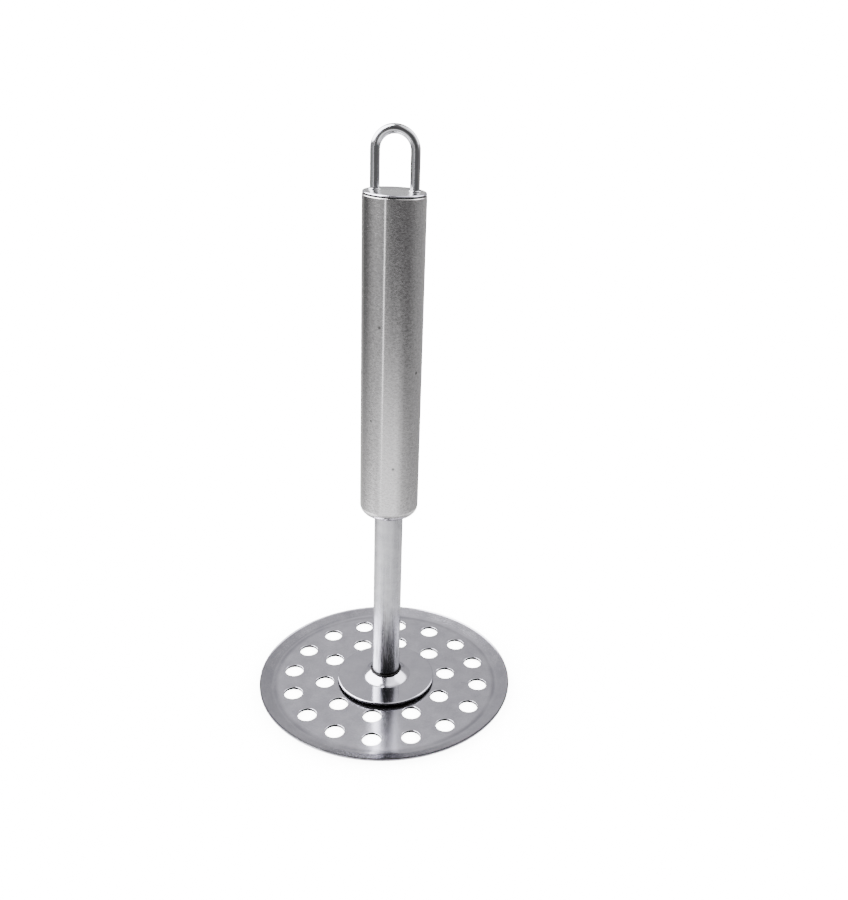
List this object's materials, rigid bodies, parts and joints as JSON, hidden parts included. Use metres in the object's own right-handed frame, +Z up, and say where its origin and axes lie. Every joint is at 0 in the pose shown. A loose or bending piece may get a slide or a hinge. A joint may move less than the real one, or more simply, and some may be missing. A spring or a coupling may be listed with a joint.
{
  "type": "potato masher",
  "caption": "Stainless steel potato masher: a round perforated plate on a tubular stem, with a hollow handle and a wire hanging loop.",
  "frame": {"origin": "centre of the flat face that the mashing plate rests on", "axes": "+Z up along the stem and the handle, X along the span of the hanging loop"},
  "size_m": [0.098, 0.098, 0.2108],
  "materials": {
    "plate_steel": "pressed sheet, satin polished",
    "flange_steel": "pressed sheet, polished",
    "stem_steel": "drawn tube, fine satin",
    "handle_steel": "drawn tube, brushed along its length",
    "cap_steel": "pressed cap, satin face and polished edge",
    "wire_steel": "drawn wire, polished",
    "ring_steel": "turned ring, plain",
    "weld_metal": "welded bead, dull"
  },
  "bodies": {
    "root": {"mashing_plate": "plate_steel", "flange": "flange_steel", "spot_welds": "weld_metal", "stem_tube": "stem_steel", "stem_weld": "weld_metal", "handle_tube": "handle_steel", "handle_neck_weld": "weld_metal", "stem_guide_ring": "ring_steel", "end_cap": "cap_steel", "hanging_loop": "wire_steel", "loop_leg_welds": "weld_metal"}
  },
  "joints": []
}
